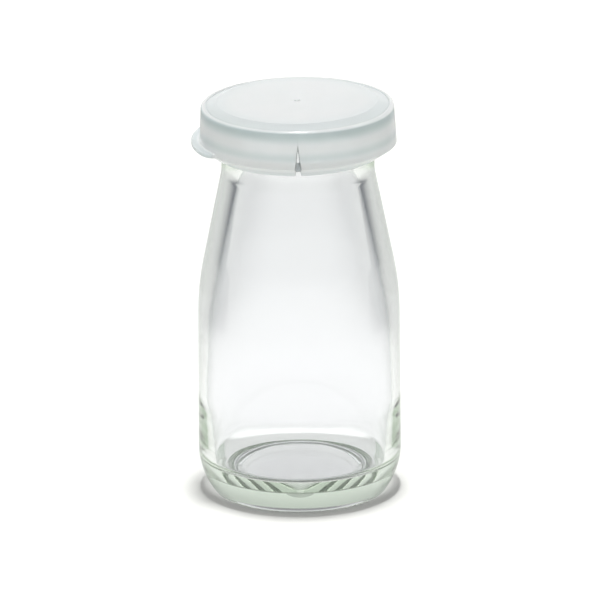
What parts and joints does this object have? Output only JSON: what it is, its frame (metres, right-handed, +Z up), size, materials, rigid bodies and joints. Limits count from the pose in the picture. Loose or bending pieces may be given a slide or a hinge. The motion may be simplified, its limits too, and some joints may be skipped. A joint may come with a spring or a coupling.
{
  "type": "glass bottle",
  "caption": "Small clear glass milk or pudding bottle with a thick wall and base, closed by a translucent press-on plastic cap with a pull tab.",
  "frame": {"origin": "on the bottle's axis, at the level of the foot ring that it stands on", "axes": "+Z up along the bottle's axis from foot to mouth, -Y towards the viewer, with a notch of the cap at -Y and its pull tab at -X"},
  "size_m": [0.0526, 0.0514, 0.1021],
  "materials": {
    "clear_glass": "smooth clear soda-lime glass, faintly green where it is thick",
    "frosted_polyethylene": "milky translucent low-density polyethylene, satin"
  },
  "bodies": {
    "root": {"bottle": "clear_glass", "cap": "frosted_polyethylene"}
  },
  "joints": []
}
